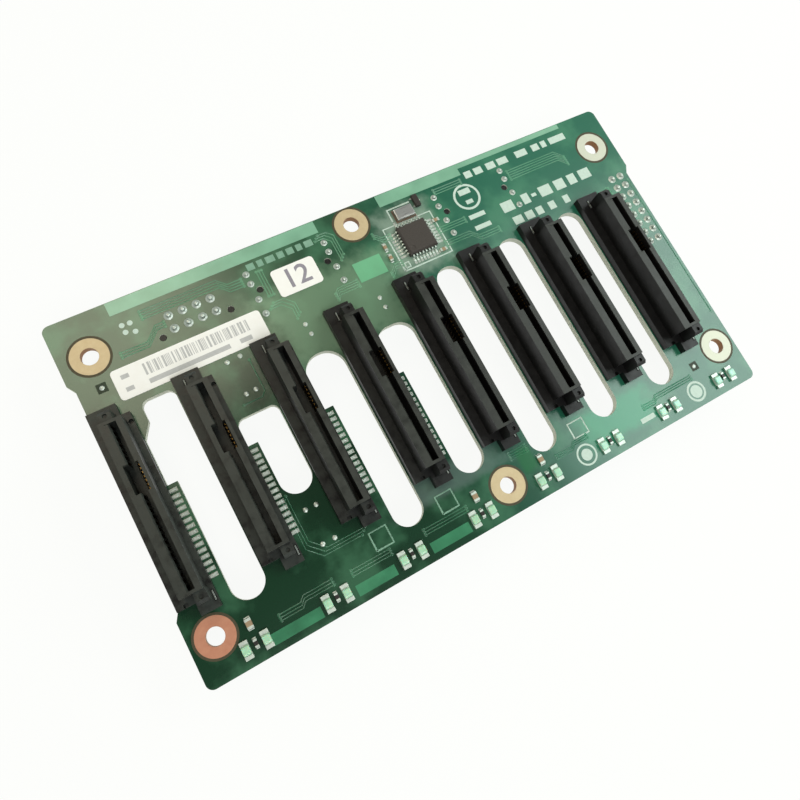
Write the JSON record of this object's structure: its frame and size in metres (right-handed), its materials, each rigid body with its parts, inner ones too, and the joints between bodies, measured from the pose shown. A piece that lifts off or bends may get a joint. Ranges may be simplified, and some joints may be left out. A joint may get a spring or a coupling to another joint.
{
  "type": "drive backplane board",
  "caption": "Green circuit board with a row of upright drive receptacles, airflow slots between them, screw lands, status lights and a small controller; cable ports underneath.",
  "frame": {"origin": "midway between the two upper screw holes, on the drive-side face of the board", "axes": "+X along the row from bay 1 to the last bay, +Y towards the cable edge, +Z out of the drive-side face towards the drives"},
  "size_m": [0.1367, 0.0762, 0.0191],
  "materials": {
    "solder_mask_board": "semi-gloss dark green solder mask",
    "tinned_copper": "hot-air-levelled tin, cream, slightly rough",
    "bare_copper": "bare copper, salmon",
    "black_moulding": "black moulded plastic, satin",
    "gold_contact": "thin gold over nickel, satin",
    "solder_tin": "tinned, satin",
    "chip_moulding": "dark epoxy, matte",
    "ceramic_base": "fired ceramic",
    "plated_lid": "plated metal lid",
    "led_base": "white carrier",
    "led_lens": "cloudy epoxy",
    "capacitor_ceramic": "fired ceramic, tan",
    "label_paper": "printed white label",
    "shell_steel": "nickel-plated folded sheet"
  },
  "bodies": {
    "root": {"circuit_board": "solder_mask_board", "tinned_screw_lands": "tinned_copper", "copper_screw_land": "bare_copper", "bay_1_receptacle": "black_moulding", "bay_1_contacts": "gold_contact", "bay_1_hold_downs": "solder_tin", "bay_2_receptacle": "black_moulding", "bay_2_contacts": "gold_contact", "bay_2_hold_downs": "solder_tin", "bay_3_receptacle": "black_moulding", "bay_3_contacts": "gold_contact", "bay_3_hold_downs": "solder_tin", "bay_4_receptacle": "black_moulding", "bay_4_contacts": "gold_contact", "bay_4_hold_downs": "solder_tin", "bay_5_receptacle": "black_moulding", "bay_5_contacts": "gold_contact", "bay_5_hold_downs": "solder_tin", "bay_6_receptacle": "black_moulding", "bay_6_contacts": "gold_contact", "bay_6_hold_downs": "solder_tin", "bay_7_receptacle": "black_moulding", "bay_7_contacts": "gold_contact", "bay_7_hold_downs": "solder_tin", "bay_8_receptacle": "black_moulding", "bay_8_contacts": "gold_contact", "bay_8_hold_downs": "solder_tin", "controller_body": "chip_moulding", "controller_leads": "solder_tin", "clock_base": "ceramic_base", "clock_lid": "plated_lid", "transistor_body": "black_moulding", "transistor_feet": "solder_tin", "status_light_bases": "led_base", "status_light_lenses": "led_lens", "resistors": "chip_moulding", "capacitors": "capacitor_ceramic", "barcode_label": "label_paper", "number_label": "label_paper", "data_port_a_shell": "shell_steel", "data_port_a_insulator": "black_moulding", "data_port_a_contacts": "gold_contact", "data_port_b_shell": "shell_steel", "data_port_b_insulator": "black_moulding", "data_port_b_contacts": "gold_contact", "power_header_housing": "black_moulding", "power_header_pins": "solder_tin", "sideband_header_body": "black_moulding", "sideband_header_pins": "gold_contact"}
  },
  "joints": []
}
